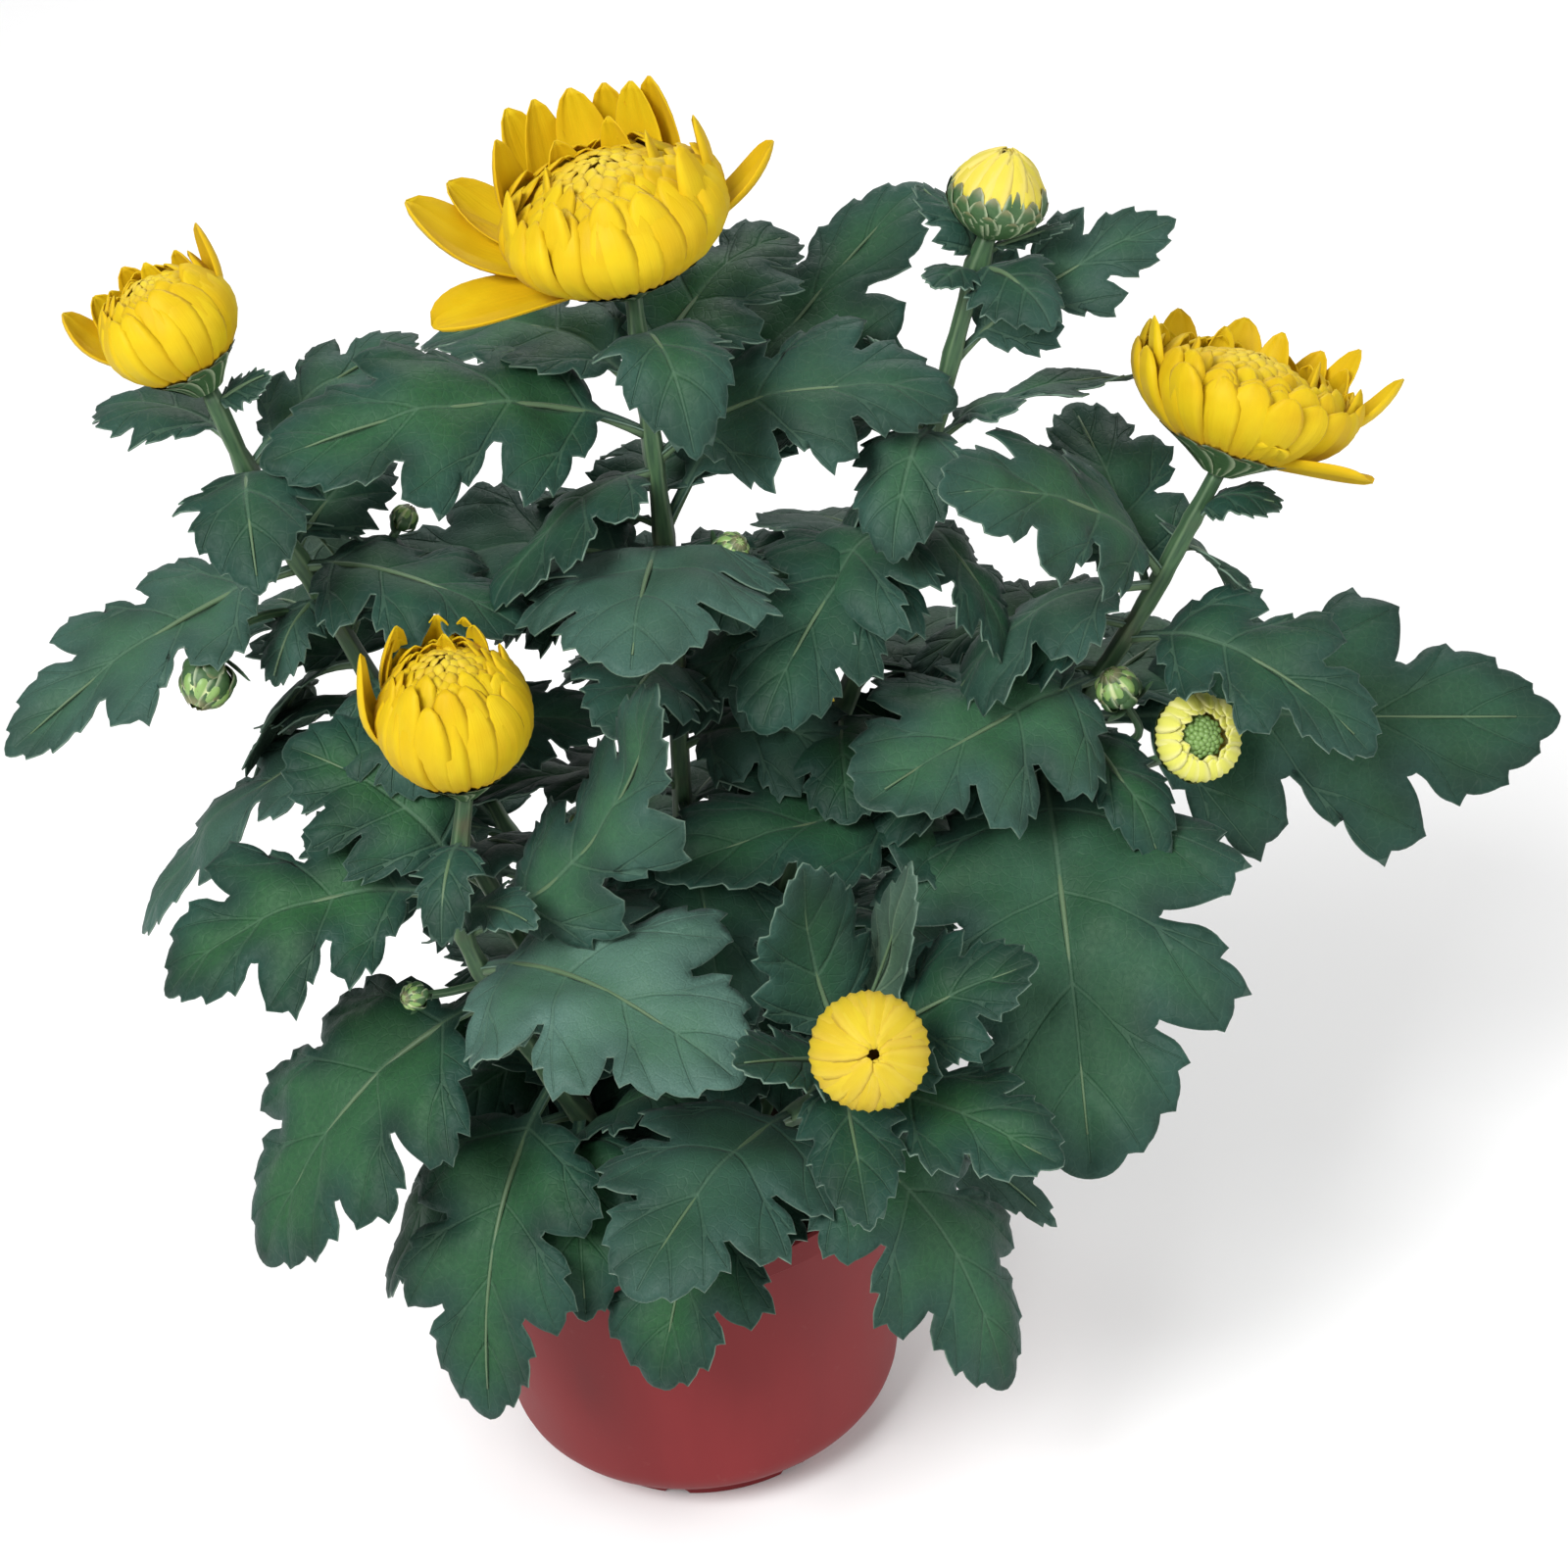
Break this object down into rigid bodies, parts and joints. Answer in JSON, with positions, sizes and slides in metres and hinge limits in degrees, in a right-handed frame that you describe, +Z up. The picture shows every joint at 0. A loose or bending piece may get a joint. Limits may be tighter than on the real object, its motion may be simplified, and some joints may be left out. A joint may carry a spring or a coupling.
{
  "type": "potted chrysanthemum",
  "caption": "Leafy flowering house plant in a tapering round plastic pot filled with potting mix; it stands on the pot's flat underside.",
  "frame": {"origin": "centre of the pot's flat underside", "axes": "+Z up along the pot's axis, -Y towards the side of the plant that the picture shows, +X to its right"},
  "size_m": [0.4263, 0.2885, 0.4279],
  "materials": {
    "pot": "satin brick-red moulded plastic",
    "potting_mix": "crumbly dark brown peat and bark mix",
    "foliage": "dark blue-green leaf with a soft grey bloom and paler veins",
    "petals": "satin lemon-yellow petals, deeper in the folds"
  },
  "bodies": {
    "root": {"pot": "pot", "potting_mix": "potting_mix", "stem_centre": "foliage", "stem_left": "foliage", "stem_right_back": "foliage", "stem_right": "foliage", "stem_left_front": "foliage", "stem_front": "foliage", "stem_back_left": "foliage", "stem_back_right": "foliage", "bloom_top": "petals", "bloom_left": "petals", "bloom_right": "petals", "bloom_lower_left": "petals", "bud_front": "petals", "bud_right_back": "petals", "bud_opening_right": "petals", "bloom_back_right": "petals", "bud_back_left": "petals"}
  },
  "joints": []
}
